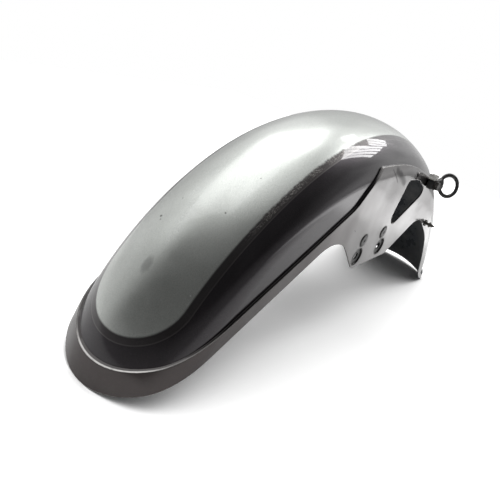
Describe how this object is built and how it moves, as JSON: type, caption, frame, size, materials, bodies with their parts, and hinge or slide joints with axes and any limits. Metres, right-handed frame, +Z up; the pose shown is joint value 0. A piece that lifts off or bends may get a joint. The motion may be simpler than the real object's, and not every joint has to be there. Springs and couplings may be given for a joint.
{
  "type": "motorcycle front mudguard",
  "caption": "Front mudguard of a road motorcycle, a deep steel shell with side wings for the fork legs, a cable guide and a push clip.",
  "frame": {"origin": "midway between the two wings, at the centre of the fork bolt holes", "axes": "+X towards the long end, +Y towards the wing with the cable guide, +Z up as the part lies on a table"},
  "size_m": [0.6394, 0.1708, 0.2415],
  "materials": {
    "paint": "gloss",
    "guide": "satin",
    "fastener": "satin",
    "clip": "satin"
  },
  "bodies": {
    "root": {"shell": "paint", "cable_guide": "guide", "guide_screw": "fastener", "push_clip": "clip"}
  },
  "joints": []
}
